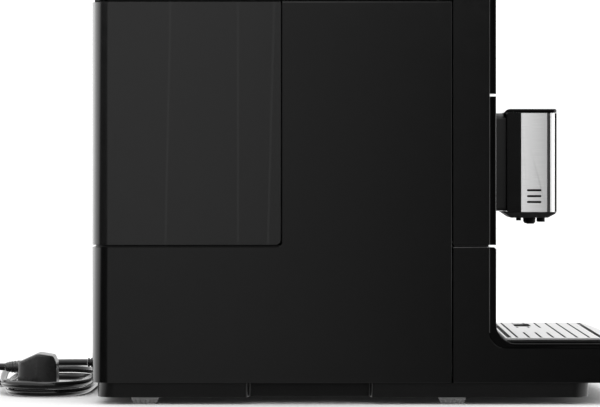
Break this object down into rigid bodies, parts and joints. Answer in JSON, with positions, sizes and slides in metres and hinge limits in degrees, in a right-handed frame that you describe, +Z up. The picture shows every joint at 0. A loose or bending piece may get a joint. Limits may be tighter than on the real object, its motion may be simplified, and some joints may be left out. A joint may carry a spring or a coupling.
{
  "type": "bean to cup coffee machine",
  "caption": "Compact countertop bean to cup coffee machine with a side water tank, height-adjustable spout, hinged front door and pull-out drip tray with grounds box.",
  "frame": {"origin": "on the ground under the middle of the machine's body, the free mains lead not counted", "axes": "+Z up; the front with the spout faces -Y; +X is on the right-hand side of someone who stands in front of it and uses it"},
  "size_m": [0.2627, 0.5442, 0.359],
  "materials": {
    "board_green": "lacquered board",
    "boiler_steel": "drawn steel",
    "brew_dark": "dark moulding",
    "brew_grey": "grey moulding",
    "brew_white": "off-white moulding",
    "bright_steel": "bright turned steel",
    "bright_trim": "bright plated",
    "brushed_steel": "brushed steel",
    "button_steel": "satin steel",
    "casing_black": "fine satin black paint",
    "chassis_grey": "plain moulded",
    "cord_rubber": "matt black",
    "foot_rubber": "dark grey ribbed rubber",
    "gloss_black": "high gloss black",
    "grinder_black": "matt black",
    "grounds_black": "matt black",
    "hinge_steel": "plated steel",
    "hopper_smoked": "smoked translucent plastic",
    "hose_silicone": "pale silicone",
    "insert_black": "matt black",
    "knob_plastic": "matt black",
    "lens_glass": "clear dark window",
    "motor_steel": "bare metal",
    "pan_grey": "dark grey moulding",
    "plinth_plastic": "matt moulded black",
    "plug_rubber": "matt black",
    "pump_brown": "plain moulded",
    "rear_black": "matt black moulding",
    "spout_black": "satin black",
    "tank_smoked": "smoked translucent plastic"
  },
  "bodies": {
    "housing": {"base_plinth": "plinth_plastic", "foot_front_left": "foot_rubber", "foot_front_right": "foot_rubber", "foot_rear_left": "foot_rubber", "foot_rear_right": "foot_rubber", "side_panel_left": "casing_black", "side_panel_right": "casing_black", "rear_panel": "rear_black", "chassis_frame": "chassis_grey", "tank_bay": "chassis_grey", "top_cover": "casing_black", "cup_rest": "brushed_steel", "bean_hopper": "hopper_smoked", "hopper_lid_pin": "bright_steel", "grinder_motor": "motor_steel", "grinder_housing": "grinder_black", "ring_burr": "motor_steel", "brew_unit_frame": "brew_grey", "brew_cylinder": "brew_white", "boiler": "boiler_steel", "pump": "pump_brown", "pump_hose": "hose_silicone", "control_board": "board_green", "door_hinge_lower": "hinge_steel", "door_hinge_upper": "hinge_steel", "strain_relief": "cord_rubber", "mains_lead": "cord_rubber", "lead_coil": "cord_rubber", "plug_lead": "cord_rubber", "mains_plug": "plug_rubber"},
    "tank": {"water_tank": "tank_smoked", "tank_lid_pin": "bright_steel"},
    "lid_of_tank": {"tank_lid": "casing_black"},
    "lid_of_hopper": {"hopper_lid": "gloss_black"},
    "grinder_setting": {"grind_knob": "knob_plastic"},
    "burr": {"cone_burr": "motor_steel"},
    "press": {"brew_piston": "brew_dark"},
    "press_screw": {"brew_spindle": "bright_steel"},
    "door": {"door_frame": "casing_black", "control_fascia": "gloss_black", "middle_fascia": "gloss_black", "display_lens": "lens_glass"},
    "button": {"power_button": "button_steel"},
    "spout": {"spout_keeper": "spout_black", "spout_slider": "spout_black", "spout_body": "spout_black", "spout_cheek_left": "brushed_steel", "spout_cheek_right": "brushed_steel", "spout_trim": "bright_trim", "spout_pane": "gloss_black", "spout_cap": "gloss_black", "spout_base": "spout_black", "coffee_nozzle_left": "spout_black", "coffee_nozzle_right": "spout_black"},
    "drawer": {"drawer_shell": "casing_black", "lower_fascia": "gloss_black", "tray_pan": "pan_grey", "grounds_container": "grounds_black", "drip_insert": "insert_black"},
    "plate": {"drip_plate": "brushed_steel"}
  },
  "joints": [
    {"name": "tank_lift", "type": "slide", "parent": "housing", "child": "tank", "axis": [0, 0, 1], "range_m": [0, 0.2]},
    {"name": "tank_lid_hinge", "type": "hinge", "parent": "tank", "child": "lid_of_tank", "pos_m": [-0.0855, 0.2075, 0.3298], "axis": [-1, 0, 0], "range_deg": [0, 85]},
    {"name": "hopper_lid_hinge", "type": "hinge", "parent": "housing", "child": "lid_of_hopper", "pos_m": [0.039, 0.1929, 0.3565], "axis": [-1, 0, 0], "range_deg": [0, 85]},
    {"name": "grind_setting", "type": "hinge", "parent": "housing", "child": "grinder_setting", "pos_m": [0.0915, 0.072, 0.3554], "axis": [0, 0, 1], "range_deg": [-40, 40]},
    {"name": "burr_turn", "type": "hinge", "parent": "housing", "child": "burr", "pos_m": [0.039, 0.144, 0.2], "axis": [0, 0, 1], "continuous": true},
    {"name": "press_screw_turn", "type": "hinge", "parent": "housing", "child": "press_screw", "pos_m": [0.036, -0.0354, 0.1355], "axis": [0, 0, 1], "range_deg": [0, 350]},
    {"name": "press_stroke", "type": "slide", "parent": "housing", "child": "press", "axis": [0, 0, -1], "range_m": [0, 0.028]},
    {"name": "door_hinge", "type": "hinge", "parent": "housing", "child": "door", "pos_m": [0.1195, -0.0823, 0.128], "axis": [0, 0, 1], "range_deg": [0, 90]},
    {"name": "button_press", "type": "slide", "parent": "door", "child": "button", "axis": [0, 1, 0], "range_m": [0, 0.0015], "stiffness_N_per_m": 400, "springref_m": -0.001},
    {"name": "spout_height", "type": "slide", "parent": "door", "child": "spout", "axis": [0, 0, 1], "range_m": [-0.008, 0.045]},
    {"name": "drawer_slide", "type": "slide", "parent": "housing", "child": "drawer", "axis": [0, -1, 0], "range_m": [0, 0.15]},
    {"name": "plate_lift", "type": "slide", "parent": "drawer", "child": "plate", "axis": [0, 0, 1], "range_m": [0, 0.04]}
  ],
  "couplings": [
    {"joint": "press_stroke", "follows": "press_screw_turn", "m_per_rad": 0.00458}
  ]
}
